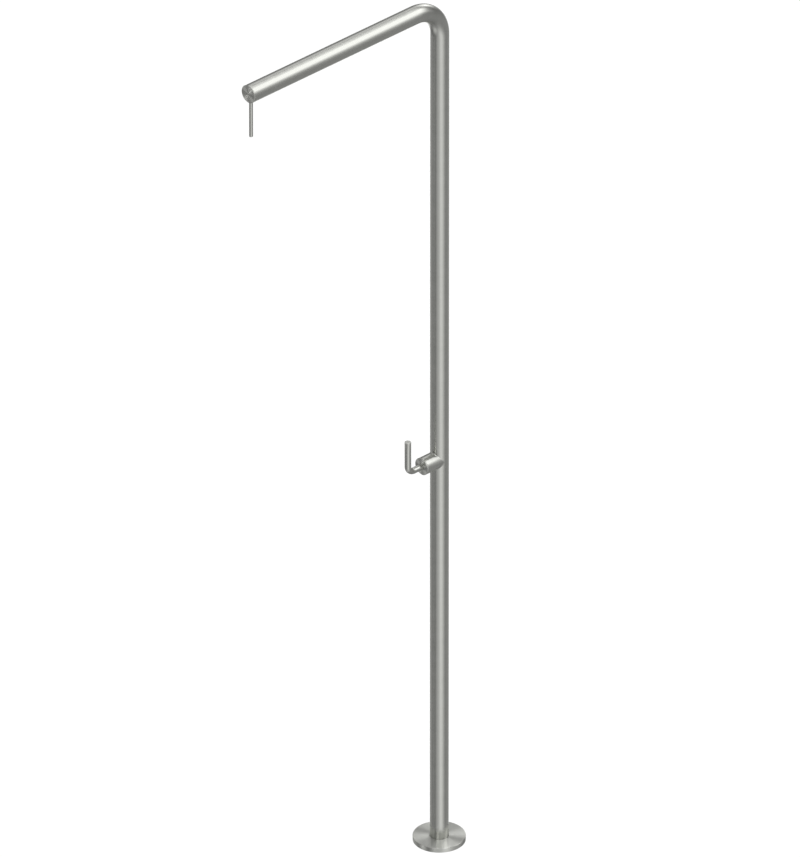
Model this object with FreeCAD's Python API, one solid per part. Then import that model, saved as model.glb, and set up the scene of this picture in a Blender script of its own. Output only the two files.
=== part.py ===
import FreeCAD, Part
import math
import os

from FreeCAD import Placement, Rotation, Vector

# Outdoor shower post: a round stainless tube that stands on the floor and bends over once into a
# level arm, with a single lever at hand height and a thin outlet tube under the end of the arm.
# Millimetres, +Z up. The origin is on the floor under the centre of the post. The arm, the valve
# and the lever face the user, towards -Y, and everything is symmetric about X = 0.

# ---- driving dimensions -------------------------------------------------------------------------

# post
post_height = 2200.0        # floor to the top of the arm
tube_od = 43.0
tube_wall = 2.0
bend_radius = 78.0          # centre line of the bend
control_height = 1000.0     # floor to the valve's axis
spout_reach = 573.5         # post axis to outlet tube axis
cap_overhang = 8.5          # outlet tube axis to the outer face of the arm's end cap

# base
gasket_thickness = 1.0
gasket_margin = 1.0         # gasket edge inside the plate's edge
plate_od = 108.0
plate_thickness = 6.5
plate_spigot_height = 4.0   # ring on the plate that centres the tube
bolt_circle = 80.0
bolt_hole = 9.0             # for M8 bolts
bolt_head = 16.5            # countersunk head, 90 degrees
bolt_count = 4
cover_gap = 0.5             # plate to the underside of the cover
cover_side_gap = 4.0        # plate edge to the inside of the cover's rim
cover_wall = 2.0
cover_top = 3.0
cover_round = 1.5           # round on the cover's top edge
cover_bore_gap = 0.3        # cover to tube
cover_ring_section = 1.6

# water inlet
inlet_thread_bore = 18.63   # minor diameter of a G1/2 female thread
union_wall = 4.0
union_flange_width = 3.7
union_flange_thickness = 1.8
union_undercut = 1.0        # run-out of the thread, on the radius
union_seat_rise = 4.0       # plate's top to the washer's seat
union_neck = 6.0            # washer's seat to the foot of the upper thread
snap_ring_thickness = 1.2
snap_ring_width = 2.9
snap_ring_bite = 1.0        # depth of its groove in the plate
snap_ring_lip = 0.7         # plate left under the groove
snap_ring_gap_angle = 40.0
filter_washer_thickness = 2.0
filter_washer_hole = 10.0

# hoses and their ends
port_thread = 16.66         # major diameter of a G3/8 thread
port_depth = 10.0
nipple_length = 12.0
hose_od = 12.0
hose_wall = 2.0
tail_wall = 1.0
tail_collar = 1.0           # neck of a tail beyond the hose's bore, on the radius
tail_reach = 14.0           # tail inside the hose
tail_flange = 2.0
tail_hex = 19.0             # across the flats of a screwed tail
tail_hex_length = 7.0
nut_wall = 2.7
nut_lip = 3.0
nut_gap = 1.0               # nut to ferrule
washer_thickness = 1.5
ferrule_wall = 1.5
ferrule_cap = 1.2
ferrule_length = 18.0

# valve, with places along its axis counted from the post's axis towards the user
valve_face_reach = 55.5     # front face of the valve cover
sleeve_od = 41.0
sleeve_wall = 2.5
face_plate = 3.0
face_edge = 0.5             # chamfer round the turned faces
cover_spigot = 8.5
valve_body_half_height = 38.0
passage = 7.0               # water passages in the valve body
inlet_passage_setback = 13.0
outlet_passage_forward = 2.0
seat_setback = 4.5
chamber_bore = 20.0
headwork_thread = 20.95     # G1/2
headwork_skirt_od = 18.0
headwork_skirt_wall = 1.8
headwork_neck_od = 19.0
headwork_nose_od = 18.0
headwork_collar = 28.0      # across the flats
headwork_collar_length = 6.0
headwork_hole_gap = 1.0     # thread to the hole in the post, on the radius
window_width = 7.0
seal_thickness = 2.0
seal_lip = 0.5
disc_thickness_fixed = 3.5
disc_thickness_rotating = 3.0
disc_port_angle = 70.0      # each of the two sector ports
disc_port_inner = 1.6
disc_port_margin = 1.6      # port to the disc's edge
drive_tongue_width = 4.0
drive_tongue_depth = 1.2
slip_ring_thickness = 0.8
spindle_flange = 2.25
spindle_od = 10.0
spindle_drive_od = 8.0
spindle_drive_length = 20.0
spindle_flat_depth = 0.7
spindle_ring_section = 1.4
spindle_ring_places = (10.0, 5.5)   # behind the headwork's nose
circlip_thickness = 1.0
circlip_width = 3.0
circlip_gap_angle = 60.0
saddle_thickness = 2.5      # post to the headwork's collar, on the centre line
body_ring_section = 2.0

# lever
lever_rod = 15.0
lever_reach = 97.0          # post axis to the lever's upright
lever_rise = 81.5           # valve axis to the lever's top
lever_bend = 18.0
lever_round = 1.0
bush_wall = 1.95
bush_cover = 1.5            # face plate left in front of the bush
set_screw_od = 5.0
set_screw_key = 2.5
set_screw_forward = 5.5     # valve cover's face to the screw

# outlet
outlet_tube_od = 9.0
outlet_tube_wall = 1.0
outlet_drop = 111.0         # arm axis to the tube's open end
outlet_seat_drop = 5.0      # arm axis to the tube's upper end
cap_disc = 2.0
plug_length = 27.0
plug_ring_section = 2.2
plug_ring_place = 18.0      # from the arm's end
tube_ring_section = 1.5
tube_ring_drop = 12.0       # arm axis to the ring

# clearances
running_gap = 0.05          # shaft in its bush, on the radius
slip_gap = 0.2              # pieces that slide together once, on the radius
end_play = 0.1              # along a shaft
disc_gap = 0.05             # between the lapped discs
cut_over = 1.0              # how far a cutting shape runs past what it cuts

# ---- sizes that follow --------------------------------------------------------------------------

tube_r = tube_od / 2
tube_inner_r = tube_r - tube_wall
arm_z = post_height - tube_r
cap_face = spout_reach + cap_overhang
arm_end = cap_face - cap_disc

plate_bottom = gasket_thickness
plate_top = plate_bottom + plate_thickness
plate_r = plate_od / 2
cover_inner_r = plate_r + cover_side_gap
cover_r = cover_inner_r + cover_wall
cover_under = plate_top + cover_gap
cover_height = cover_under + cover_top
cover_bore_r = tube_r + cover_bore_gap

union_r = inlet_thread_bore / 2 + union_wall
union_flange_r = union_r + union_flange_width
union_seat_r = union_flange_r + slip_gap
snap_ring_bottom = plate_bottom + snap_ring_lip
snap_ring_top = snap_ring_bottom + snap_ring_thickness
union_flange_top = snap_ring_top + union_flange_thickness
union_seat_z = plate_top + union_seat_rise
union_thread_foot = union_seat_z + union_neck
union_top = union_thread_foot + nipple_length

hose_r = hose_od / 2
hose_bore_r = hose_r - hose_wall
tail_bore_r = hose_bore_r - tail_wall
tail_neck_r = hose_bore_r + tail_collar
ferrule_r = hose_r + ferrule_wall
port_r = port_thread / 2
tail_flange_top = washer_thickness + tail_flange
swivel_hose_start = tail_flange_top + nut_lip + nut_gap + ferrule_cap
fixed_hose_start = tail_hex_length + nut_gap + ferrule_cap

valve_bottom = control_height - valve_body_half_height
valve_top = control_height + valve_body_half_height
valve_body_r = tube_inner_r - slip_gap
sleeve_r = sleeve_od / 2
sleeve_inner_r = sleeve_r - sleeve_wall
sleeve_end = valve_face_reach - face_plate
spigot_end = sleeve_end - cover_spigot
spigot_r = sleeve_inner_r - slip_gap

# headwork, from its seat in the valve body forwards
skirt_start = seal_thickness - seat_setback
fixed_disc_start = skirt_start + seal_lip
fixed_disc_end = fixed_disc_start + disc_thickness_fixed
moving_disc_start = fixed_disc_end + disc_gap
moving_disc_end = moving_disc_start + disc_thickness_rotating
spindle_flange_start = moving_disc_end + slip_gap
spindle_flange_end = spindle_flange_start + spindle_flange
slip_ring_start = spindle_flange_end + end_play
skirt_end = slip_ring_start + slip_ring_thickness + end_play
thread_end = valve_body_r - slip_gap
collar_start = tube_r + saddle_thickness
collar_end = collar_start + headwork_collar_length
nose_end = spigot_end
headwork_thread_r = headwork_thread / 2
headwork_hole_r = headwork_thread_r + headwork_hole_gap
skirt_r = headwork_skirt_od / 2
skirt_inner_r = skirt_r - headwork_skirt_wall
disc_r = skirt_inner_r - slip_gap
spindle_r = spindle_od / 2
drive_r = spindle_drive_od / 2
circlip_start = nose_end + slip_gap
circlip_end = circlip_start + circlip_thickness
lever_back = circlip_end + 1.8
body_ring_place = skirt_end - 1.5

lever_r = lever_rod / 2
bush_inner_r = lever_r + running_gap
bush_r = bush_inner_r + bush_wall
bush_start = lever_back - 1.0
bush_end = valve_face_reach - bush_cover
drive_end = lever_back + spindle_drive_length
set_screw_reach = valve_face_reach + set_screw_forward
flat_r = drive_r - spindle_flat_depth

outlet_r = outlet_tube_od / 2
outlet_bore_r = outlet_r - outlet_tube_wall
plug_r = tube_inner_r - slip_gap
nipple_end = plug_length + nipple_length

# ---- frames: the local z axis runs up, towards the user or away from the user --------------------

UPRIGHT = Placement()
FORWARD = Placement(Vector(0, 0, control_height), Rotation(Vector(1, 0, 0), 90))
ARM_END = Placement(Vector(0, -arm_end, arm_z), Rotation(Vector(1, 0, 0), -90))


# ---- shapes -------------------------------------------------------------------------------------

def turned(outline, frame=UPRIGHT):
    """A solid of revolution about the frame's z axis, from (along, radius) corners."""
    corners = [Vector(radius, 0, along) for along, radius in outline]
    face = Part.Face(Part.makePolygon(corners + corners[:1]))
    solid = face.revolve(Vector(0, 0, 0), Vector(0, 0, 1), 360)
    return solid.transformed(frame.toMatrix())


def ring(outer_r, inner_r, start, end, frame=UPRIGHT):
    corners = [(start, inner_r), (start, outer_r), (end, outer_r), (end, inner_r)]
    return turned(corners, frame)


def round_bar(radius, start, end, frame=UPRIGHT):
    return ring(radius, 0, start, end, frame)


def hexagon(across_flats, start, end, frame=UPRIGHT):
    corner_r = across_flats / math.sqrt(3)
    turns = [math.radians(60 * k) for k in range(7)]
    corners = [Vector(corner_r * math.cos(t), corner_r * math.sin(t), start) for t in turns]
    solid = Part.Face(Part.makePolygon(corners)).extrude(Vector(0, 0, end - start))
    return solid.transformed(frame.toMatrix())


def box(low, high, frame=UPRIGHT):
    size = Vector(*high) - Vector(*low)
    return Part.makeBox(size.x, size.y, size.z, Vector(*low)).transformed(frame.toMatrix())


def o_ring(inner_r, section, along, frame=UPRIGHT):
    solid = Part.makeTorus(inner_r + section / 2, section / 2, Vector(0, 0, along))
    return solid.transformed(frame.toMatrix())


def sector(radius, start, end, middle_angle, width_angle, frame=UPRIGHT):
    """A pie slice about the frame's z axis."""
    first = math.radians(middle_angle - width_angle / 2)
    half = math.radians(middle_angle)
    last = math.radians(middle_angle + width_angle / 2)
    rim = [Vector(radius * math.cos(t), radius * math.sin(t), start) for t in (first, half, last)]
    centre = Vector(0, 0, start)
    edges = [
        Part.makeLine(centre, rim[0]),
        Part.Arc(*rim).toShape(),
        Part.makeLine(rim[2], centre),
    ]
    solid = Part.Face(Part.Wire(edges)).extrude(Vector(0, 0, end - start))
    return solid.transformed(frame.toMatrix())


def drilling(start, end, radius):
    """A round hole between two points of the post's frame."""
    along = end - start
    return Part.makeCylinder(radius, along.Length, start, along)


def swept(path, radius):
    """A round bar along a path of tangent lines and arcs."""
    first = path[0]
    start = first.valueAt(first.FirstParameter)
    heading = first.tangentAt(first.FirstParameter)
    section = Part.Wire(Part.makeCircle(radius, start, heading))
    return Part.Wire(path).makePipeShell([section], True, False)


def quarter_bend(corner, arrive, leave, radius):
    """The arc that rounds the corner between two square runs, with its two ends."""
    start = corner - arrive * radius
    end = corner + leave * radius
    centre = start + leave * radius
    middle = centre + (corner - centre).normalize() * radius
    return Part.Arc(start, middle, end).toShape(), start, end


def mast_path(foot_z, arm_reach):
    """Up the post from foot_z, round the bend and along the arm to arm_reach."""
    corner = Vector(0, 0, arm_z)
    arc, start, end = quarter_bend(corner, Vector(0, 0, 1), Vector(0, -1, 0), bend_radius)
    foot = Vector(0, 0, foot_z)
    tip = Vector(0, -arm_reach, arm_z)
    return [Part.makeLine(foot, start), arc, Part.makeLine(end, tip)]


def snap_ring(outer_r, width, start, end, gap_angle, gap_middle, frame=UPRIGHT):
    """A retaining ring: a flat ring with a gap."""
    whole = ring(outer_r, outer_r - width, start, end, frame)
    opening = sector(outer_r + cut_over, start - cut_over, end + cut_over,
                     gap_middle, gap_angle, frame)
    return whole.cut(opening)


# ---- post and base ------------------------------------------------------------------------------

def make_post_tube():
    tube = swept(mast_path(plate_top, arm_end), tube_r)
    tube = tube.cut(swept(mast_path(plate_top, arm_end), tube_inner_r))
    valve_hole = round_bar(headwork_hole_r, 0, tube_od, FORWARD)
    outlet_hole = drilling(
        Vector(0, -spout_reach, arm_z), Vector(0, -spout_reach, arm_z - tube_od),
        outlet_r + slip_gap,
    )
    return tube.cut(valve_hole).cut(outlet_hole)


def bolt_places():
    for k in range(bolt_count):
        turn = math.radians(45 + 360 * k / bolt_count)
        yield Vector(bolt_circle / 2 * math.cos(turn), bolt_circle / 2 * math.sin(turn), 0)


def make_base_plate():
    spigot_r = tube_inner_r - slip_gap
    hole_r = union_r + slip_gap
    groove_r = union_seat_r + snap_ring_bite
    plate = turned([
        (union_flange_top, hole_r),
        (union_flange_top, union_seat_r),
        (snap_ring_top, union_seat_r),
        (snap_ring_top, groove_r),
        (snap_ring_bottom, groove_r),
        (snap_ring_bottom, union_seat_r),
        (plate_bottom, union_seat_r),
        (plate_bottom, plate_r),
        (plate_top, plate_r),
        (plate_top, spigot_r),
        (plate_top + plate_spigot_height, spigot_r),
        (plate_top + plate_spigot_height, hole_r),
    ])
    sink = (bolt_head - bolt_hole) / 2
    for place in bolt_places():
        hole = turned([
            (plate_bottom - cut_over, 0),
            (plate_bottom - cut_over, bolt_hole / 2),
            (plate_top - sink, bolt_hole / 2),
            (plate_top, bolt_head / 2),
            (plate_top + cut_over, bolt_head / 2),
            (plate_top + cut_over, 0),
        ])
        hole.translate(place)
        plate = plate.cut(hole)
    return plate


def make_floor_gasket():
    hole_r = union_seat_r + snap_ring_bite
    gasket = ring(plate_r - gasket_margin, hole_r, 0, gasket_thickness)
    for place in bolt_places():
        hole = round_bar(bolt_hole / 2, -cut_over, gasket_thickness + cut_over)
        hole.translate(place)
        gasket = gasket.cut(hole)
    return gasket


def make_flange_cover():
    ring_middle = cover_height - cover_top / 2
    groove_half = cover_ring_section / 2 + end_play
    groove_r = tube_r + running_gap + cover_ring_section
    cover = turned([
        (0, cover_inner_r),
        (0, cover_r),
        (cover_height, cover_r),
        (cover_height, cover_bore_r),
        (ring_middle + groove_half, cover_bore_r),
        (ring_middle + groove_half, groove_r),
        (ring_middle - groove_half, groove_r),
        (ring_middle - groove_half, cover_bore_r),
        (cover_under, cover_bore_r),
        (cover_under, cover_inner_r),
    ])
    edge = outer_edge(cover, cover_height, cover_r)
    return cover.makeFillet(cover_round, [edge])


def outer_edge(shape, height, radius):
    """The circular edge of a shape at this height and radius about the z axis."""
    def miss(edge):
        centre = edge.Curve.Center
        return abs(centre.z - height) + abs(edge.Curve.Radius - radius)
    circles = [e for e in shape.Edges if isinstance(e.Curve, Part.Circle)]
    return min(circles, key=miss)


def make_flange_cover_o_ring():
    return o_ring(tube_r + running_gap, cover_ring_section, cover_height - cover_top / 2)


# ---- water inlet --------------------------------------------------------------------------------

def make_inlet_union():
    thread_r = inlet_thread_bore / 2
    return turned([
        (0, thread_r),
        (0, union_r),
        (snap_ring_top, union_r),
        (snap_ring_top, union_flange_r),
        (union_flange_top, union_flange_r),
        (union_flange_top, union_r),
        (union_thread_foot, union_r),
        (union_thread_foot, port_r),
        (union_top, port_r),
        (union_top, tail_bore_r),
        (union_seat_z, tail_bore_r),
        (union_seat_z, thread_r + union_undercut),
        (plate_top, thread_r + union_undercut),
        (plate_top, thread_r),
    ])


def make_union_retaining_ring():
    outer_r = union_seat_r + snap_ring_bite
    return snap_ring(outer_r, snap_ring_width, snap_ring_bottom, snap_ring_top,
                     snap_ring_gap_angle, 90)


def make_inlet_filter_washer():
    outer_r = inlet_thread_bore / 2 + union_undercut - slip_gap
    return ring(outer_r, filter_washer_hole / 2, union_seat_z - filter_washer_thickness,
                union_seat_z)


# ---- hose ends: z runs from the sealing face towards the hose ------------------------------------

def make_washer(frame):
    return ring(port_r - slip_gap, tail_bore_r, 0, washer_thickness, frame)


def make_swivel_tail(frame):
    end = swivel_hose_start + tail_reach
    return turned([
        (washer_thickness, tail_bore_r),
        (washer_thickness, port_r - slip_gap),
        (tail_flange_top, port_r - slip_gap),
        (tail_flange_top, tail_neck_r),
        (swivel_hose_start, tail_neck_r),
        (swivel_hose_start, hose_bore_r),
        (end, hose_bore_r),
        (end, tail_bore_r),
    ], frame)


def make_swivel_nut(frame):
    nut = hexagon(port_thread + 2 * nut_wall, -port_depth, tail_flange_top + nut_lip, frame)
    nut = nut.cut(round_bar(port_r, -port_depth - cut_over, tail_flange_top, frame))
    hole = round_bar(tail_neck_r + slip_gap, 0, tail_flange_top + nut_lip + cut_over, frame)
    return nut.cut(hole)


def make_fixed_tail(frame):
    end = fixed_hose_start + tail_reach
    tail = turned([
        (-port_depth, 0),
        (-port_depth, port_r),
        (0, port_r),
        (0, tail_neck_r),
        (fixed_hose_start, tail_neck_r),
        (fixed_hose_start, hose_bore_r),
        (end, hose_bore_r),
        (end, 0),
    ], frame)
    tail = tail.fuse(hexagon(tail_hex, 0, tail_hex_length, frame))
    return tail.cut(round_bar(tail_bore_r, -port_depth - cut_over, end + cut_over, frame))


def make_ferrule(frame, hose_start):
    return turned([
        (hose_start - ferrule_cap, tail_neck_r),
        (hose_start - ferrule_cap, ferrule_r),
        (hose_start + ferrule_length, ferrule_r),
        (hose_start + ferrule_length, hose_r),
        (hose_start, hose_r),
        (hose_start, tail_neck_r),
    ], frame)


# ---- supply and riser hoses ---------------------------------------------------------------------

def make_supply():
    foot = Placement(Vector(0, 0, union_top), Rotation())
    head = Placement(Vector(0, 0, valve_bottom), Rotation(Vector(1, 0, 0), 180))
    hose = ring(hose_r, hose_bore_r, union_top + swivel_hose_start,
                valve_bottom - fixed_hose_start)
    return {
        "supply_hose": hose,
        "supply_lower_washer": make_washer(foot),
        "supply_lower_tail": make_swivel_tail(foot),
        "supply_lower_nut": make_swivel_nut(foot),
        "supply_lower_ferrule": make_ferrule(foot, swivel_hose_start),
        "supply_upper_tail": make_fixed_tail(head),
        "supply_upper_ferrule": make_ferrule(head, fixed_hose_start),
    }


def make_riser():
    foot = Placement(Vector(0, 0, valve_top), Rotation())
    nipple_face = arm_end - nipple_end
    head = Placement(Vector(0, -nipple_face, arm_z), ARM_END.Rotation)
    path = mast_path(valve_top + fixed_hose_start, nipple_face - swivel_hose_start)
    return {
        "riser_hose": swept(path, hose_r).cut(swept(path, hose_bore_r)),
        "riser_lower_tail": make_fixed_tail(foot),
        "riser_lower_ferrule": make_ferrule(foot, fixed_hose_start),
        "riser_upper_washer": make_washer(head),
        "riser_upper_tail": make_swivel_tail(head),
        "riser_upper_nut": make_swivel_nut(head),
        "riser_upper_ferrule": make_ferrule(head, swivel_hose_start),
    }


# ---- valve --------------------------------------------------------------------------------------

def valve_point(forward, up=0.0):
    """A point in the plane of symmetry, from the centre of the valve."""
    return Vector(0, -forward, control_height + up)


def make_valve_body():
    body = round_bar(valve_body_r, valve_bottom, valve_top)
    port_top = valve_body_half_height - port_depth - cut_over
    half = passage / 2
    cuts = [
        round_bar(port_r, valve_bottom - cut_over, valve_bottom + port_depth + cut_over),
        round_bar(port_r, valve_top - port_depth - cut_over, valve_top + cut_over),
        round_bar(headwork_thread_r, skirt_end, tube_r, FORWARD),
        round_bar(chamber_bore / 2, -seat_setback, skirt_end, FORWARD),
        round_bar(half, -inlet_passage_setback, -seat_setback, FORWARD),
        drilling(valve_point(-inlet_passage_setback, half),
                 valve_point(-inlet_passage_setback, passage - port_top), half),
        drilling(valve_point(-inlet_passage_setback, passage - port_top + half),
                 valve_point(-half, -port_top), half),
        drilling(valve_point(outlet_passage_forward),
                 valve_point(outlet_passage_forward, port_top + cut_over), half),
    ]
    for cut in cuts:
        body = body.cut(cut)
    return body


def make_valve_sleeve():
    sleeve = ring(sleeve_r, sleeve_inner_r, 0, sleeve_end, FORWARD)
    return sleeve.cut(round_bar(tube_r, valve_bottom - tube_od, valve_top + tube_od))


def make_saddle_ring():
    outer_r = headwork_collar / 2
    saddle = ring(outer_r, headwork_hole_r, 0, collar_start, FORWARD)
    return saddle.cut(round_bar(tube_r, valve_bottom, valve_top))


def make_valve_cover():
    groove_r = sleeve_inner_r - body_ring_section
    groove_half = body_ring_section / 2 + end_play
    groove_middle = (spigot_end + sleeve_end) / 2
    return turned([
        (spigot_end, bush_r),
        (spigot_end, spigot_r),
        (groove_middle - groove_half, spigot_r),
        (groove_middle - groove_half, groove_r),
        (groove_middle + groove_half, groove_r),
        (groove_middle + groove_half, spigot_r),
        (sleeve_end, spigot_r),
        (sleeve_end, sleeve_r),
        (valve_face_reach - face_edge, sleeve_r),
        (valve_face_reach, sleeve_r - face_edge),
        (valve_face_reach, lever_r + slip_gap),
        (bush_end, lever_r + slip_gap),
        (bush_end, bush_r),
    ], FORWARD)


def make_valve_cover_o_ring():
    middle = (spigot_end + sleeve_end) / 2
    return o_ring(sleeve_inner_r - body_ring_section, body_ring_section, middle, FORWARD)


def make_headwork_body():
    ring_half = body_ring_section / 2 + end_play
    ring_floor = chamber_bore / 2 - body_ring_section
    body = turned([
        (skirt_start, skirt_inner_r),
        (skirt_start, skirt_r),
        (body_ring_place - ring_half, skirt_r),
        (body_ring_place - ring_half, ring_floor),
        (body_ring_place + ring_half, ring_floor),
        (body_ring_place + ring_half, skirt_r),
        (skirt_end, skirt_r),
        (skirt_end, headwork_thread_r),
        (thread_end, headwork_thread_r),
        (thread_end, headwork_neck_od / 2),
        (collar_end, headwork_neck_od / 2),
        (collar_end, headwork_nose_od / 2),
        (nose_end, headwork_nose_od / 2),
        (nose_end, spindle_r + running_gap),
        (skirt_end, spindle_r + running_gap),
        (skirt_end, skirt_inner_r),
    ], FORWARD)
    collar = hexagon(headwork_collar, collar_start, collar_end, FORWARD)
    collar = collar.cut(round_bar(headwork_neck_od / 2, collar_start, collar_end, FORWARD))
    body = body.fuse(collar)
    window = box((-window_width / 2, -headwork_skirt_od, moving_disc_start),
                 (window_width / 2, headwork_skirt_od, moving_disc_end), FORWARD)
    return body.cut(window)


def make_headwork_body_o_ring():
    inner_r = chamber_bore / 2 - body_ring_section
    return o_ring(inner_r, body_ring_section, body_ring_place, FORWARD)


def make_headwork_seat_seal():
    return turned([
        (-seat_setback, passage / 2),
        (-seat_setback, skirt_r - slip_gap),
        (skirt_start, skirt_r - slip_gap),
        (skirt_start, disc_r),
        (fixed_disc_start, disc_r),
        (fixed_disc_start, passage / 2),
    ], FORWARD)


def disc_ports(start, end, first_angle):
    """Two opposite sector ports, as cutting shapes."""
    port_r = disc_r - disc_port_margin
    ports = []
    for middle_angle in (first_angle, first_angle + 180):
        slice_ = sector(port_r, start - cut_over, end + cut_over, middle_angle,
                        disc_port_angle, FORWARD)
        core = round_bar(disc_port_inner, start - cut_over, end + cut_over, FORWARD)
        ports.append(slice_.cut(core))
    return ports


def make_ceramic_disc_fixed():
    disc = round_bar(disc_r, fixed_disc_start, fixed_disc_end, FORWARD)
    for port in disc_ports(fixed_disc_start, fixed_disc_end, 0):
        disc = disc.cut(port)
    return disc


def make_ceramic_disc_rotating():
    disc = round_bar(disc_r, moving_disc_start, moving_disc_end, FORWARD)
    for port in disc_ports(moving_disc_start, moving_disc_end, 90):
        disc = disc.cut(port)
    half = drive_tongue_width / 2
    slot = box((-disc_r, -half, moving_disc_end - drive_tongue_depth),
               (disc_r, half, moving_disc_end + cut_over), FORWARD)
    return disc.cut(slot)


def make_headwork_slip_ring():
    return ring(disc_r, spindle_r + running_gap, slip_ring_start,
                slip_ring_start + slip_ring_thickness, FORWARD)


def spindle_ring_middles():
    return [nose_end - back for back in spindle_ring_places]


def make_headwork_spindle():
    groove_half = spindle_ring_section / 2 + end_play
    groove_r = spindle_r - spindle_ring_section
    outline = [
        (spindle_flange_start, 0),
        (spindle_flange_start, disc_r),
        (spindle_flange_end, disc_r),
        (spindle_flange_end, spindle_r),
    ]
    for middle in spindle_ring_middles():
        outline += [
            (middle - groove_half, spindle_r),
            (middle - groove_half, groove_r),
            (middle + groove_half, groove_r),
            (middle + groove_half, spindle_r),
        ]
    outline += [
        (circlip_start, spindle_r),
        (circlip_start, drive_r),
        (circlip_end, drive_r),
        (circlip_end, spindle_r),
        (lever_back, spindle_r),
        (lever_back, drive_r),
        (drive_end, drive_r),
        (drive_end, 0),
    ]
    spindle = turned(outline, FORWARD)
    half = drive_tongue_width / 2 - end_play
    tongue = box((-disc_port_inner - half, -half, moving_disc_end - drive_tongue_depth),
                 (disc_port_inner + half, half, spindle_flange_start), FORWARD)
    flat = box((-drive_r, -drive_r - cut_over, lever_back + cut_over),
               (drive_r, -flat_r, drive_end + cut_over), FORWARD)
    return spindle.fuse(tongue).cut(flat)


def make_spindle_o_rings():
    inner_r = spindle_r - spindle_ring_section
    rings = [o_ring(inner_r, spindle_ring_section, s, FORWARD) for s in spindle_ring_middles()]
    return Part.makeCompound(rings)


def make_spindle_circlip():
    return snap_ring(drive_r + circlip_width, circlip_width, circlip_start, circlip_end,
                     circlip_gap_angle, 90, FORWARD)


def make_lever_bush():
    return ring(bush_r, bush_inner_r, bush_start, bush_end, FORWARD)


def make_lever():
    corner = Vector(0, -lever_reach, control_height)
    arc, start, end = quarter_bend(corner, Vector(0, -1, 0), Vector(0, 0, 1), lever_bend)
    back = Vector(0, -lever_back, control_height)
    tip = Vector(0, -lever_reach, control_height + lever_rise)
    rod = swept([Part.makeLine(back, start), arc, Part.makeLine(end, tip)], lever_r)
    rod = rod.makeFillet(lever_round, [outer_edge(rod, tip.z, lever_r)])
    spindle_bore = round_bar(drive_r + running_gap, lever_back - cut_over,
                             drive_end + cut_over, FORWARD)
    screw_hole = drilling(valve_point(set_screw_reach), valve_point(set_screw_reach, -lever_rod),
                          set_screw_od / 2)
    return rod.cut(spindle_bore).cut(screw_hole)


def make_lever_set_screw():
    outer_end = lever_r - slip_gap
    frame = Placement(valve_point(set_screw_reach), Rotation(Vector(1, 0, 0), 180))
    screw = round_bar(set_screw_od / 2, flat_r, outer_end, frame)
    key_depth = (outer_end - flat_r) / 2
    return screw.cut(hexagon(set_screw_key, outer_end - key_depth, outer_end + cut_over, frame))


# ---- outlet -------------------------------------------------------------------------------------

def make_outlet_plug():
    groove_half = plug_ring_section / 2 + end_play
    groove_r = tube_inner_r - plug_ring_section
    plug = turned([
        (-cap_disc, 0),
        (-cap_disc, tube_r - face_edge),
        (face_edge - cap_disc, tube_r),
        (0, tube_r),
        (0, plug_r),
        (plug_ring_place - groove_half, plug_r),
        (plug_ring_place - groove_half, groove_r),
        (plug_ring_place + groove_half, groove_r),
        (plug_ring_place + groove_half, plug_r),
        (plug_length, plug_r),
        (plug_length, port_r),
        (nipple_end, port_r),
        (nipple_end, 0),
    ], ARM_END)
    spout_top = Vector(0, -spout_reach, arm_z)
    water_start = cap_overhang - cap_disc
    plug = plug.cut(round_bar(outlet_bore_r, water_start, nipple_end + cut_over, ARM_END))
    plug = plug.cut(drilling(spout_top, spout_top - Vector(0, 0, tube_od), outlet_bore_r))
    seat = spout_top - Vector(0, 0, outlet_seat_drop)
    plug = plug.cut(drilling(seat, seat - Vector(0, 0, tube_od), outlet_r))
    ring_half = Vector(0, 0, tube_ring_section / 2 + end_play)
    ring_middle = spout_top - Vector(0, 0, tube_ring_drop)
    return plug.cut(drilling(ring_middle + ring_half, ring_middle - ring_half,
                             outlet_r + tube_ring_section))


def make_outlet_plug_o_ring():
    return o_ring(tube_inner_r - plug_ring_section, plug_ring_section, plug_ring_place, ARM_END)


def make_outlet_tube():
    tube = ring(outlet_r, outlet_bore_r, arm_z - outlet_drop, arm_z - outlet_seat_drop)
    tube.translate(Vector(0, -spout_reach, 0))
    return tube


def make_outlet_tube_o_ring():
    seal = o_ring(outlet_r, tube_ring_section, arm_z - tube_ring_drop)
    seal.translate(Vector(0, -spout_reach, 0))
    return seal


# ---- every piece, one file each -----------------------------------------------------------------

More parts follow.
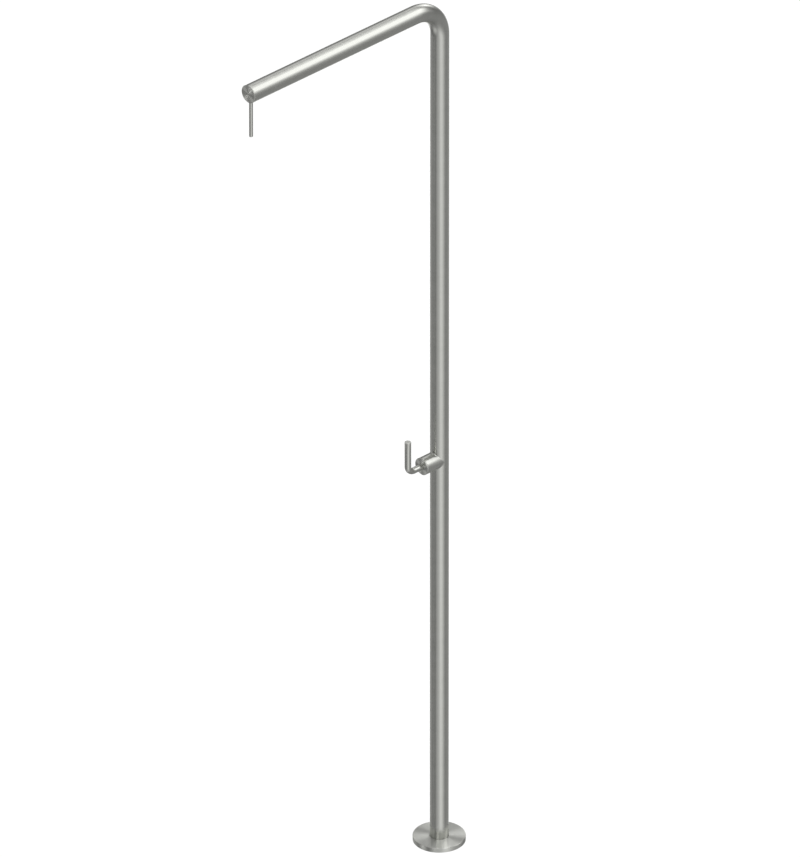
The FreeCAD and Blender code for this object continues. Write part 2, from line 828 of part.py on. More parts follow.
def make_pieces():
    pieces = {
        "post_tube": make_post_tube(),
        "base_plate": make_base_plate(),
        "floor_gasket": make_floor_gasket(),
        "flange_cover": make_flange_cover(),
        "flange_cover_o_ring": make_flange_cover_o_ring(),
        "inlet_union": make_inlet_union(),
        "union_retaining_ring": make_union_retaining_ring(),
        "inlet_filter_washer": make_inlet_filter_washer(),
        "valve_body": make_valve_body(),
        "valve_sleeve": make_valve_sleeve(),
        "saddle_ring": make_saddle_ring(),
        "valve_cover": make_valve_cover(),
        "valve_cover_o_ring": make_valve_cover_o_ring(),
        "headwork_body": make_headwork_body(),
        "headwork_body_o_ring": make_headwork_body_o_ring(),
        "headwork_seat_seal": make_headwork_seat_seal(),
        "ceramic_disc_fixed": make_ceramic_disc_fixed(),
        "ceramic_disc_rotating": make_ceramic_disc_rotating(),
        "headwork_slip_ring": make_headwork_slip_ring(),
        "headwork_spindle": make_headwork_spindle(),
        "spindle_o_rings": make_spindle_o_rings(),
        "spindle_circlip": make_spindle_circlip(),
        "lever_bush": make_lever_bush(),
        "lever": make_lever(),
        "lever_set_screw": make_lever_set_screw(),
        "outlet_plug": make_outlet_plug(),
        "outlet_plug_o_ring": make_outlet_plug_o_ring(),
        "outlet_tube": make_outlet_tube(),
        "outlet_tube_o_ring": make_outlet_tube_o_ring(),
    }
    pieces.update(make_supply())
    pieces.update(make_riser())
    return pieces


os.makedirs("parts", exist_ok=True)
for node, shape in make_pieces().items():
    shape.exportStep(f"parts/{node}.step")
    print(f"{node}: {len(shape.Solids)} solid, {shape.Volume:.0f} mm3, valid {shape.isValid()}")
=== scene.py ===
# %% [markdown]
# # An outdoor shower post in brushed stainless steel
#
# The real object is one stainless tube, bent over once into a level arm, with a quarter-turn valve
# at hand height and a round flange at its foot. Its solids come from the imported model, which also
# says how they move. This lesson gives the post its looks: it remakes the seven pieces that show
# as clean meshes, gives every piece a metal, rubber or plastic finish made of shader nodes, and
# sets up the floor, the light and the camera of a plain studio picture. Lengths are in metres.

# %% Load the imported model
import math

import bmesh
import bpy
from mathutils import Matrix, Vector


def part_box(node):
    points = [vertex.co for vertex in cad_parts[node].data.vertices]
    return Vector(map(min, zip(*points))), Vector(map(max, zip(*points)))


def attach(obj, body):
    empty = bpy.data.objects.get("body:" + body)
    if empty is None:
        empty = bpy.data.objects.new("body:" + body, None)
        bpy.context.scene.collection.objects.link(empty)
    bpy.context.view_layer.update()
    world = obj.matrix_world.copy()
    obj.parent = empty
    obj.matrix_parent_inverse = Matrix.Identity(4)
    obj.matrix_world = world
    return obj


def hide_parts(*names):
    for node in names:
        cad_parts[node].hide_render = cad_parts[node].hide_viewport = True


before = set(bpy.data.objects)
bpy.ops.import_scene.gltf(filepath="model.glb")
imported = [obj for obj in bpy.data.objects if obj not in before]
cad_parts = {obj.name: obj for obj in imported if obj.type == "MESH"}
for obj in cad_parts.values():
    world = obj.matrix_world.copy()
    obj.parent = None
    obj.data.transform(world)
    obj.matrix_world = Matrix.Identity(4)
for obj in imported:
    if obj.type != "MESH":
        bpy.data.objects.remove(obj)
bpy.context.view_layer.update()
bpy.ops.object.select_all(action="DESELECT")

MM = 0.001
X, Y, Z = Vector((1, 0, 0)), Vector((0, 1, 0)), Vector((0, 0, 1))

# %% [markdown]
# ## The camera
#
# The picture looks down on the post from its right, with no visible perspective. A camera with a
# flat, parallel view could do that, but other views of this scene move the camera back until the
# post fits, and a parallel view keeps its width then. A very long lens from over 80 metres away
# looks almost the same and fits every view, so that is the one used here. It aims at the middle of
# the picture, a little to the left of the post and under half its height. The Standard view shows
# the colours just as they are worked out.

# %% Look down on the post through a long lens
CAMERA_AZIMUTH = math.radians(46.72)
CAMERA_ELEVATION = math.radians(31.03)
CAMERA_DISTANCE = 83.0
NEAREST, FURTHEST = 1, 200  # what lies outside this range isn't drawn
LENS = 1550  # mm
SENSOR = 36  # mm, the height of the picture on the sensor
AIM_RIGHT = -0.0882
AIM_UP = 0.9227

towards_camera = Vector((
    math.sin(CAMERA_AZIMUTH) * math.cos(CAMERA_ELEVATION),
    -math.cos(CAMERA_AZIMUTH) * math.cos(CAMERA_ELEVATION),
    math.sin(CAMERA_ELEVATION),
))
picture_right = Z.cross(towards_camera).normalized()
picture_up = towards_camera.cross(picture_right)
aim = picture_right * AIM_RIGHT + picture_up * AIM_UP

bpy.ops.object.camera_add(
    location=aim + towards_camera * CAMERA_DISTANCE,
    rotation=towards_camera.to_track_quat("Z", "Y").to_euler(),
)
camera = bpy.context.object
camera.name = "camera"
camera.data.lens = LENS
camera.data.sensor_width = SENSOR
camera.data.clip_start = NEAREST
camera.data.clip_end = FURTHEST
bpy.context.scene.camera = camera
bpy.context.scene.view_settings.view_transform = "Standard"
print(f"the picture is {CAMERA_DISTANCE * SENSOR / LENS:.3f} m high at the post")

# %% [markdown]
# ## Shader values as Python values
#
# A finish is a small network of nodes, and much of it is plain arithmetic. Wiring a Math node for
# each sum by hand hides the formula. So one small class stands for a value on its wire: Python's
# operators on it add the Math nodes, and every other kind of node comes from its node() method.
# Without a value of its own it is an empty bench, to put the first nodes of a network on.

# %% A wire that can be added, multiplied and divided
class Wire:
    def __init__(self, tree, socket=None):
        self.tree = tree
        self.socket = socket

    def feed(self, socket, value):
        if isinstance(value, Wire):
            self.tree.links.new(value.socket, socket)
        else:
            socket.default_value = value

    def node(self, kind, settings=None, inputs=None, output=0):
        """Adds a node, with its settings first and then the values or wires of its inputs."""
        made = self.tree.nodes.new("ShaderNode" + kind)
        for name, value in (settings or {}).items():
            setattr(made, name, value)
        for name, value in (inputs or {}).items():
            self.feed(made.inputs[name], value)
        return Wire(self.tree, made.outputs[output]) if made.outputs else made

    def maths(self, operation, other=0.0):
        return self.node("Math", {"operation": operation}, {0: self, 1: other})

    def maths_after(self, operation, other):
        """A sum with the other value first, as in 1 - mask."""
        return self.node("Math", {"operation": operation}, {0: other, 1: self})

    def __add__(self, other):
        return self.maths("ADD", other)

    def __sub__(self, other):
        return self.maths("SUBTRACT", other)

    def __rsub__(self, other):
        return self.maths_after("SUBTRACT", other)

    def __mul__(self, other):
        return self.maths("MULTIPLY", other)

    def __truediv__(self, other):
        return self.maths("DIVIDE", other)

    def __rtruediv__(self, other):
        return self.maths_after("DIVIDE", other)

    __radd__ = __add__
    __rmul__ = __mul__

    def parts(self):
        return [self.node("SeparateXYZ", None, {"Vector": self}, axis) for axis in "XYZ"]

    def point(self, x, y, z):
        return self.node("CombineXYZ", None, {"X": x, "Y": y, "Z": z})

    def vector(self, operation, other=(0, 0, 0), output="Vector"):
        return self.node("VectorMath", {"operation": operation}, {0: self, 1: other}, output)

    def noise(self, place, detail=1.0):
        """Soft random bumps from 0 to 1, about one to each unit of the place."""
        return self.node("TexNoise", {"noise_dimensions": "3D"},
                         {"Vector": place, "Scale": 1.0, "Detail": detail})

    def tint(self, factor, start, end):
        """A colour on the way from one colour to another."""
        return self.node("Mix", {"data_type": "RGBA"}, {0: factor, 6: start, 7: end}, 2)

    def relief(self, height, depth):
        """The normal of a surface whose height of 0 to 1 stands for a depth in metres."""
        return self.node("Bump", None, {"Strength": 1.0, "Distance": depth, "Height": height})


# %% [markdown]
# ## The floor
#
# The post stands in front of pure white, with hardly a shadow. A plain white floor would come out
# grey and patchy, so this one glows a little by itself and keeps only a breath of shadow. Metal
# on a white floor also turns white on its lower side. The picture shows dark steel there, so the
# floor is left out of the reflections.

# %% Stand the post on white paper
FLOOR_WIDTH = 300
FLOOR_DROP = 0.1 * MM
FLOOR_GLOW = 1.06
FLOOR_SHADOW = 0.08
PAPER = (0.9, 0.9, 0.9, 1)
WHITE = (1, 1, 1, 1)

bpy.ops.mesh.primitive_plane_add(size=FLOOR_WIDTH, location=-Z * FLOOR_DROP, calc_uvs=False)
floor = bpy.context.object
floor.name = "floor"
floor.visible_glossy = False

paper = bpy.data.materials.new("white_paper")
paper.use_nodes = True
paper.node_tree.nodes.clear()
bench = Wire(paper.node_tree)
bench.node("OutputMaterial", None, {0: bench.node("MixShader", None, {
    0: FLOOR_SHADOW,
    1: bench.node("Emission", None, {"Strength": FLOOR_GLOW}),
    2: bench.node("BsdfDiffuse", None, {"Color": PAPER}),
})})
floor.data.materials.append(paper)
print(f"a floor {FLOOR_WIDTH} m wide, {FLOOR_SHADOW:.0%} of it open to shadow")

# %% [markdown]
# ## The light
#
# Metal has no colour of its own and shows only what it reflects, so the light has to be soft and
# has to come from the right places. Lamps would leave hard spots on a round tube. Instead the
# world around the post glows in soft patches, like lit panels of cloth. Those overhead and behind,
# on the right, put the white band on the arm. Low ones in front make the paler band down the post,
# and the rest light the fans on the flange and keep the edges from going black. Each patch is
# brightest in the middle and fades by the angle from it, and the background itself is plain white
# to the camera.

# %% Hang soft panels of light round the post
PANELS = (  # azimuth and elevation in degrees, narrowness, strength
    (-60, 35, 34.4, 4.32),
    (117, 69, 35.8, 3.11),
    (116, 20, 35.9, 2.37),
    (43, 82, 35.3, 2.15),
    (-18, 20, 18.2, 2.02),
    (70, 45, 35.9, 1.93),
    (-113, -7, 31.5, 1.93),
    (44, 32, 24.9, 1.77),
    (140, -34, 16.0, 1.90),
    (-130, 50, 29.9, 1.21),
    (2, -2, 13.3, 1.13),
    (-176, 24, 22.3, 0.93),
    (-29, -36, 9.7, 0.90),
    (145, 41, 35.4, 0.88),
    (-103, -64, 20.0, 0.61),
    (-156, -17, 19.5, 0.55),
    (27, 14, 35.7, 0.33),
    (-72, -26, 32.8, 0.33),
    (71, -34, 4.0, 0.26),
)
ROOM_LIGHT = 0.122
BACKGROUND = 1.0


def direction_of(azimuth, elevation):
    turn, rise = math.radians(azimuth), math.radians(elevation)
    return (math.cos(rise) * math.cos(turn), math.cos(rise) * math.sin(turn), math.sin(rise))


studio = bpy.data.worlds.new("studio")
bpy.context.scene.world = studio
studio.use_nodes = True
studio.node_tree.nodes.clear()
bench = Wire(studio.node_tree)
looking = bench.node("TexCoord", None, None, "Generated")
brightness = ROOM_LIGHT
for azimuth, elevation, narrowness, strength in PANELS:
    alike = looking.vector("DOT_PRODUCT", direction_of(azimuth, elevation), "Value")
    brightness = ((alike - 1) * narrowness).maths("EXPONENT") * strength + brightness
bench.node("OutputWorld", None, {0: bench.node("MixShader", None, {
    0: bench.node("LightPath", None, None, "Is Camera Ray"),
    1: bench.node("Background", None, {"Color": WHITE, "Strength": brightness}),
    2: bench.node("Background", None, {"Color": WHITE, "Strength": BACKGROUND}),
})})
print(f"{len(PANELS)} panels of light")

# %% [markdown]
# ## Brushed and turned steel
#
# The tube was polished with a fine belt, and the flange and the end faces were turned on a lathe.
# Polishing leaves a soft, even sheen, so the tube and the rods have a plain low roughness with
# shallow scratches that run round them. A UV map named "brushing" says where these run: across it
# goes the turn round the piece, from 0 to 1, and up it goes the distance from scratch to scratch
# in metres. The turn becomes a point on a small circle first, so that the pattern meets itself at
# the seam. The smaller the circle, the longer the scratches.
#
# Turned metal shows fans of light, because its grooves scatter light across themselves and hardly
# along. The shader's Anisotropic value, called the spread here, does that. With no wire on its
# Tangent, it takes its direction from an upright line through the middle of the mesh's texture
# space. That is right as it stands for the flange. For the end cap and the valve cover the texture
# space is moved far to the back, and the direction is then X everywhere, which suits their rims.
# Their front faces have no such direction, so there the grooves are made by hand: each one leans
# the surface in and then out again, away from the middle of the face.

# %% Start a finish whose colour and gloss drift in patches
STEEL_DARK = (0.530, 0.535, 0.505, 1)
STEEL_LIGHT = (0.585, 0.590, 0.560, 1)
STEEL_DRIFT = 0.2
PATCH_WIDTH = 15 * MM
PATCH_DETAIL = 3.0
QUARTER_TURN = 0.25


def new_finish(name):
    """A material, a bench for its nodes and the inputs of its shader."""
    finish = bpy.data.materials.new(name)
    finish.use_nodes = True
    return finish, Wire(finish.node_tree), finish.node_tree.nodes["Principled BSDF"].inputs


def drifting(value, patches, drift):
    """Lets a value drift by a share of itself, half of it down and half of it up."""
    return value * (1 - drift / 2 + patches * drift)


# %% Make scratches and grooves that run round a piece
SCRATCH_WIDTH = 0.7 * MM
SCRATCH_DEPTH = 0.01 * MM
GROOVE_WIDTH = 0.15 * MM
GROOVE_SLOPE = 0.40


def groove_normal(bench, side, up, across):
    """Lathe grooves on a face that looks forwards: each one leans the surface in and then out."""
    lean = ((across / GROOVE_WIDTH).maths("FRACT").maths("ROUND") * 2 - 1) * GROOVE_SLOPE
    outwards = bench.node("VectorTransform", {
        "vector_type": "VECTOR", "convert_from": "OBJECT", "convert_to": "WORLD",
    }, {"Vector": bench.point(side * lean, 0.0, up * lean * -1)})
    flat = bench.node("NewGeometry", None, None, "Normal")
    return outwards.vector("ADD", flat).vector("NORMALIZE")


def steel(name, circle, roughness, spread=0.0, grooves=False):
    """Steel with scratches or grooves that follow the piece's "brushing" map."""
    finish, bench, shader = new_finish(name)
    turn, across, _ = bench.node("UVMap", {"uv_map": "brushing"}).parts()
    angle = turn * math.tau
    side, up = angle.maths("COSINE"), angle.maths("SINE")
    ring = side * circle, up * circle
    patches = bench.noise(bench.point(*ring, across / PATCH_WIDTH), PATCH_DETAIL)
    shader["Metallic"].default_value = 1.0
    shader["Anisotropic"].default_value = spread
    shader["Anisotropic Rotation"].default_value = QUARTER_TURN
    bench.feed(shader["Base Color"], bench.tint(patches, STEEL_DARK, STEEL_LIGHT))
    bench.feed(shader["Roughness"], drifting(roughness, patches, STEEL_DRIFT))
    if grooves:
        bench.feed(shader["Normal"], groove_normal(bench, side, up, across))
    else:
        scratches = bench.noise(bench.point(*ring, across / SCRATCH_WIDTH))
        bench.feed(shader["Normal"], bench.relief(scratches, SCRATCH_DEPTH))
    return finish


brushed_tube = steel("brushed_tube", circle=0.55, roughness=0.24)
brushed_rod = steel("brushed_rod", circle=0.30, roughness=0.24)
turned_steel = steel("turned_steel", circle=1.0, roughness=0.36, spread=1.0)
turned_face = steel("turned_face", circle=1.0, roughness=0.28, grooves=True)
print(f"scratches {SCRATCH_WIDTH / MM:.2f} mm wide, grooves {GROOVE_WIDTH / MM:.2f} mm wide")

# %% [markdown]
# ## Tools for the meshes
#
# Each piece starts as a primitive and is shaped in edit mode. Operators act on whatever is
# selected, so the piece is made the only one first, and its points or edges are picked by their
# place. A finished piece keeps its place in its mesh, with its object at the origin.

# %% Select, extrude and bend
MEETING = 0.001 * MM  # points nearer to each other than this are one
ON_PLANE = 0.01 * MM
RIM_DEPTH = 0.1 * MM
RIM_STEPS = 6


def use_only(piece):
    bpy.ops.object.select_all(action="DESELECT")
    piece.select_set(True)
    bpy.context.view_layer.objects.active = piece


def name_new_piece(name):
    """Names the primitive just added, moves its place into its mesh and opens it for editing."""
    bpy.ops.object.transform_apply(location=True, rotation=True, scale=True)
    piece = bpy.context.object
    piece.name = piece.data.name = name
    bpy.ops.object.mode_set(mode="EDIT")
    bpy.ops.mesh.select_all(action="SELECT")
    return piece


def extrude(step=(0, 0, 0)):
    """Extrudes what is selected by a step, or in place, to be moved or shrunk next."""
    bpy.ops.mesh.extrude_region_move(TRANSFORM_OT_translate={"value": tuple(step)})


def extrude_through(start, stops, direction):
    """Extrudes what is selected, ring by ring, to each distance along the direction."""
    for stop in stops:
        extrude(direction * (stop - start))
        start = stop


def bend(quarter, centre, steps):
    """Spins the selected ring about X. With no window, spin turns the other way."""
    bpy.ops.mesh.spin(steps=steps, angle=-quarter, center=centre, axis=X)


def round_rim(piece, middle, radius, size, steps=RIM_STEPS):
    """Rounds the outer edge of the level disc that has this middle and radius."""
    bpy.ops.mesh.select_mode(type="EDGE")
    bpy.ops.mesh.select_all(action="DESELECT")
    shape = bmesh.from_edit_mesh(piece.data)
    for edge in shape.edges:
        offset = (edge.verts[0].co + edge.verts[1].co) / 2 - middle
        if abs(offset.z) < ON_PLANE and offset.length > radius - RIM_DEPTH:
            edge.select_set(True)
    bmesh.update_edit_mesh(piece.data)
    bpy.ops.mesh.bevel(offset=size, segments=steps, affect="EDGES")


def close_mesh():
    """Merges the points that meet, turns the faces outwards and ends the editing."""
    bpy.ops.mesh.select_mode(type="VERT")
    bpy.ops.mesh.select_all(action="SELECT")
    bpy.ops.mesh.remove_doubles(threshold=MEETING)
    bpy.ops.mesh.normals_make_consistent(inside=False)
    bpy.ops.object.mode_set(mode="OBJECT")


# %% Apply modifiers and drill holes
DRILL_SIDES = 64
THROUGH = 50 * MM  # far enough for a drill to come out on the other side


def apply_modifier(piece, kind, **settings):
    use_only(piece)
    modifier = piece.modifiers.new(kind.lower(), kind)
    for name, value in settings.items():
        setattr(modifier, name, value)
    bpy.ops.object.modifier_apply(modifier=modifier.name)


def drill(piece, start, end, radius):
    """Takes a round hole out of a piece, from start to end."""
    along = end - start
    bpy.ops.object.select_all(action="DESELECT")
    bpy.ops.mesh.primitive_cylinder_add(
        vertices=DRILL_SIDES, radius=radius, depth=along.length, location=(start + end) / 2,
        rotation=along.to_track_quat("Z", "Y").to_euler(), calc_uvs=False,
    )
    bit = bpy.context.object
    apply_modifier(piece, "BOOLEAN", operation="DIFFERENCE", solver="EXACT", object=bit)
    bpy.data.objects.remove(bit)


# %% Say where the scratches run
TEXTURE_SPACE_AWAY = 100


def lay_brushing(piece, place):
    """Writes the UV map from place(point): a turn, or None on the axis, and a distance."""
    mesh = piece.data
    layer = mesh.uv_layers.new(name="brushing")
    places = [place(point.co) for point in mesh.vertices]
    for face in mesh.polygons:
        middle = place(face.center)[0] or 0.0
        for corner in face.loop_indices:
            turn, across = places[mesh.loops[corner].vertex_index]
            away = 0.0 if turn is None else (turn - middle + 0.5) % 1 - 0.5
            layer.uv[corner].vector = (middle + away, across)


def aim_spread(piece):
    """Moves the texture space far to the back, so that the spread goes by the X direction."""
    piece.data.use_auto_texspace = False
    piece.data.texspace_location = Y * TEXTURE_SPACE_AWAY
    piece.data.texspace_size = (1, 1, 1)


def turn_of(side, up):
    if math.hypot(side, up) < MEETING:
        return None
    return math.atan2(up, side) / math.tau


def round_axis(face, backwards):
    """Places on a turned piece: from the middle of its face outwards, then back along its side."""
    other = backwards.cross(X)

    def place(point):
        offset = point - face
        depth = offset.dot(backwards)
        side, up = offset.dot(X), offset.dot(other)
        return turn_of(side, up), math.hypot(side, up) + depth

    return place


def round_bend(start, first, second, straight, bend_radius, radius):
    """Places on a bent rod: along the first run, round the bend and along the second run."""
    quarter = bend_radius * math.pi / 2

    def place(point):
        offset = point - start
        one, two = offset.dot(first), offset.dot(second)
        if one < straight:
            along, out = one, -two
        elif two > bend_radius:
            along, out = straight + quarter + two - bend_radius, one - straight - bend_radius
        else:
            turned = math.atan2(one - straight, bend_radius - two)
            along = straight + bend_radius * turned
            out = math.hypot(one - straight, bend_radius - two) - bend_radius
        return turn_of(offset.x, out), along + radius - math.hypot(offset.x, out)

    return place


# %% Hand a finished piece over
SHARP_EDGE = math.radians(30)
FRONT_DEPTH = 0.3 * MM
FACING = 0.9  # the least share of a front face's normal that points along Y


def in_mm(size):
    return " x ".join(f"{length / MM:.1f}" for length in size)


def finish_front(piece, finish, face):
    """Gives the second finish to the faces that lie in the plane of the front face."""
    piece.data.materials.append(finish)
    for part in piece.data.polygons:
        if abs((part.center - face).dot(Y)) < FRONT_DEPTH and abs(part.normal.y) > FACING:
            part.material_index = 1


def hand_over(piece, finish, body, node):
    """Shades a piece, gives it its finish and puts it in the place of its solid."""
    use_only(piece)
    bpy.ops.object.shade_smooth_by_angle(angle=SHARP_EDGE)
    piece.data.materials.clear()
    piece.data.materials.append(finish)
    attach(piece, body)
    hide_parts(node)
    low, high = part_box(node)
    sides = zip(*(point.co for point in piece.data.vertices))
    size = in_mm(max(side) - min(side) for side in sides)
    print(f"{piece.name}: {size} mm, solid {in_mm(high - low)} mm, "
          f"{len(piece.data.polygons)} faces")


# %% [markdown]
# ## The post tube
#
# The post is one round tube with a 2 mm wall, bent cold over a round former. It could be a curve
# with a round bevel, but a curve spaces its rings by itself. Here a circle is extruded up the
# post, spun a quarter turn round the bend and extruded along the arm, just as the bender works.
# There is a ring every 100 mm or so, and rings close to the two holes keep the shading even round
# them.

# %% Extrude, bend and extrude the tube
BEND_RADIUS = 78 * MM
BEND_STEPS = 24
TUBE_SIDES = 96
RING_STEP = 100 * MM
VALVE_HEIGHT = 1000 * MM
VALVE_RING = 15 * MM  # from the valve's axis to the rings above and below its hole
VALVE_CLEAR = 60 * MM  # within this there is no other ring
SPOUT_REACH = 573.5 * MM
SPOUT_RING = 14 * MM  # from the outlet's axis back to the ring by its hole

foot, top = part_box("post_tube")
tube_radius = top.x
arm_height = top.z - tube_radius
arm_end = -foot.y
bend_start = arm_height - BEND_RADIUS
rises = [RING_STEP * k for k in range(1, int(bend_start / RING_STEP))]
rises = [rise for rise in rises if abs(rise - VALVE_HEIGHT) > VALVE_CLEAR]
rises += [VALVE_HEIGHT - VALVE_RING, VALVE_HEIGHT + VALVE_RING, bend_start]
reaches = [RING_STEP * k for k in range(1, int(SPOUT_REACH / RING_STEP) + 1)]
reaches += [SPOUT_REACH - SPOUT_RING, arm_end]

bpy.ops.mesh.primitive_circle_add(vertices=TUBE_SIDES, radius=tube_radius,
                                  location=(0, 0, foot.z), calc_uvs=False)
post_tube = name_new_piece("post_tube_brushed")
extrude_through(foot.z, sorted(rises), Z)
bend(math.pi / 2, (0, -BEND_RADIUS, bend_start), BEND_STEPS)
extrude_through(BEND_RADIUS, reaches, -Y)
close_mesh()

# %% Give the tube its wall and drill it
WALL = 2 * MM
VALVE_HOLE = 11.475 * MM
SPOUT_HOLE = 4.7 * MM
valve_middle = Vector((0, 0, VALVE_HEIGHT))
spout_top = Vector((0, -SPOUT_REACH, arm_height))

apply_modifier(post_tube, "SOLIDIFY", thickness=WALL, offset=-1, use_even_offset=True)
drill(post_tube, valve_middle, valve_middle - Y * THROUGH, VALVE_HOLE)
drill(post_tube, spout_top, spout_top - Z * THROUGH, SPOUT_HOLE)
lay_brushing(post_tube, round_bend(
    Vector((0, 0, foot.z)), Z, -Y, bend_start - foot.z, BEND_RADIUS, tube_radius,
))
hand_over(post_tube, brushed_tube, "post", "post_tube")

# %% [markdown]
# ## Turned pieces
#
# The end plug, the valve cover, the flange cover and the outlet tube are all round, and the real
# ones come off a lathe. So does the mesh: a plane is merged to one point, the point is extruded
# along the outline that the tool cuts, and the outline is spun once round the axis. Where the
# outline touches the axis, its points merge into one, so that the face is closed. The corners of
# an outline are given in millimetres: the depth behind the front face, and the radius there.

# %% Turn an outline on a lathe
LATHE_SIDES = 96


def turned(name, face, backwards, outline):
    """A solid of revolution round the line that goes backwards from the middle of its face."""
    corners = [face + backwards * depth * MM + X * radius * MM for depth, radius in outline]
    bpy.ops.object.select_all(action="DESELECT")
    bpy.ops.mesh.primitive_plane_add(size=MM, location=corners[0], calc_uvs=False)
    piece = name_new_piece(name)
    bpy.ops.mesh.merge(type="CENTER")
    for here, there in zip(corners, corners[1:]):
        extrude(there - here)
    bpy.ops.mesh.select_all(action="SELECT")
    bpy.ops.mesh.spin(steps=LATHE_SIDES, angle=math.tau, center=face, axis=backwards,
                      use_auto_merge=True)
    close_mesh()
    return piece


# %% Turn the plug that ends the arm
WATER_DEPTH = 8.5 * MM  # where the water turns down, behind the plug's face
WATER_RADIUS = 3.5 * MM
SEAT_DROP = 5 * MM  # where the outlet tube's seat starts, under the arm's axis
SEAT_RADIUS = 4.5 * MM

cap_face = Vector((0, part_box("outlet_plug")[0].y, arm_height))
outlet_plug = turned("outlet_plug_turned", cap_face, Y, [
    (0, 0), (0, 21.0), (0.5, 21.5), (1.85, 21.5), (2.0, 21.35), (2.0, 19.3),  # the disc that shows
    (18.8, 19.3), (18.8, 17.3), (21.2, 17.3), (21.2, 19.3), (29.0, 19.3),  # spigot and ring groove
    (29.0, 8.33), (41.0, 8.33), (41.0, 0),  # the nipple for the hose
])
water_turn = cap_face + Y * WATER_DEPTH
drill(outlet_plug, water_turn, water_turn + Y * THROUGH, WATER_RADIUS)
drill(outlet_plug, water_turn - Z * SEAT_DROP, water_turn - Z * THROUGH, SEAT_RADIUS)
lay_brushing(outlet_plug, round_axis(cap_face, Y))
aim_spread(outlet_plug)
hand_over(outlet_plug, turned_steel, "post", "outlet_plug")
finish_front(outlet_plug, turned_face, cap_face)

# %% Turn the outlet tube
tube_low, tube_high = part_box("outlet_tube")
spout_length = (tube_high.z - tube_low.z) / MM
spout_foot = Vector((0, -SPOUT_REACH, tube_low.z))
outlet_tube = turned("outlet_tube_brushed", spout_foot, Z, [
    (0, 3.8), (0, 4.25), (0.25, 4.5), (spout_length, 4.5),  # the outside
    (spout_length, 3.5), (0.3, 3.5), (0, 3.8),  # the bore
])
lay_brushing(outlet_tube, round_axis(spout_foot, Z))
hand_over(outlet_tube, brushed_rod, "post", "outlet_tube")

# %% Turn the flange cover and round its edge
FLANGE_RADIUS = 60 * MM
FLANGE_EDGE = 1.5 * MM

flange_face = Vector((0, 0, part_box("flange_cover")[1].z))
flange_cover = turned("flange_cover_turned", flange_face, -Z, [
    (0, 22.1), (0, 60.0), (11.0, 60.0),  # the outside
    (11.0, 58.0), (3.0, 58.0), (3.0, 21.8), (0.3, 21.8), (0, 22.1),  # the hollow and the bore
])
use_only(flange_cover)
bpy.ops.object.mode_set(mode="EDIT")
round_rim(flange_cover, flange_face, FLANGE_RADIUS, FLANGE_EDGE)
close_mesh()
lay_brushing(flange_cover, round_axis(flange_face, -Z))
hand_over(flange_cover, turned_steel, "flange_cover", "flange_cover")

# %% Turn the valve cover
valve_face = Vector((0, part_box("valve_cover")[0].y, VALVE_HEIGHT))
valve_cover = turned("valve_cover_turned", valve_face, Y, [
    (0, 7.9), (0, 20.0), (0.5, 20.5), (2.85, 20.5), (3.0, 20.35), (3.0, 17.8),  # the disc
    (6.15, 17.8), (6.15, 16.0), (8.35, 16.0), (8.35, 17.8), (11.5, 17.8),  # spigot and ring groove
    (11.5, 9.5), (1.5, 9.5), (1.5, 7.7), (0.2, 7.7), (0, 7.9),  # room for the headwork and lever
])
lay_brushing(valve_cover, round_axis(valve_face, Y))
aim_spread(valve_cover)
hand_over(valve_cover, turned_steel, "post", "valve_cover")
finish_front(valve_cover, turned_face, valve_face)

# %% [markdown]
# ## The valve sleeve
#
# The sleeve is a short length of tube, cut to fit the round of the post and welded to it, with the
# weld ground to a small soft hollow. The fit could be cut with a boolean, but the hollow would
# then need a bevel along an uneven edge. It is easier to extrude the sleeve ring by ring and slide
# each new ring to its place. The hollow is widest above and below, where the two walls meet
# squarely, and fades at the sides, where they run into each other.

# %% Give each ring of the sleeve a rule
SLEEVE_RADIUS = 20.5 * MM
SLEEVE_BORE = 18 * MM
SLEEVE_EDGE = 0.15 * MM
WELD = 1.6 * MM
WELD_SIDE = 0.35 * MM
WELD_FADE = 1.5
WELD_STEPS = 6
sleeve_front = Vector((0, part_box("valve_sleeve")[0].y, VALVE_HEIGHT))


def slide_ring(piece, rule):
    """Moves each selected point to the radius and depth that the rule gives for its turn."""
    shape = bmesh.from_edit_mesh(piece.data)
    for point in shape.verts:
        if point.select:
            turn = math.atan2(point.co.x, point.co.z - VALVE_HEIGHT)
            radius, depth = rule(turn)
            point.co = Vector((radius * math.sin(turn), depth,
                               VALVE_HEIGHT + radius * math.cos(turn)))
    bmesh.update_edit_mesh(piece.data)


def flat_ring(radius, depth=0.0):
    """The rule for a ring that lies flat, a depth behind the sleeve's front."""
    return lambda turn: (radius, sleeve_front.y + depth)


def on_post(radius, turn):
    """How far back the front of the post lies from a point of the sleeve."""
    return -math.sqrt(tube_radius ** 2 - (radius * math.sin(turn)) ** 2)


def weld_ring(part):
    """The rule for a ring of the hollow: part goes from 0 on the sleeve to 1 on the post."""
    angle = part * math.pi / 2

    def rule(turn):
        size = WELD_SIDE + (WELD - WELD_SIDE) * abs(math.cos(turn)) ** WELD_FADE
        radius = SLEEVE_RADIUS + size * (1 - math.cos(angle))
        return radius, on_post(radius, turn) - size * (1 - math.sin(angle))

    return rule


def inner_ring(turn):
    return SLEEVE_BORE, on_post(SLEEVE_BORE, turn)


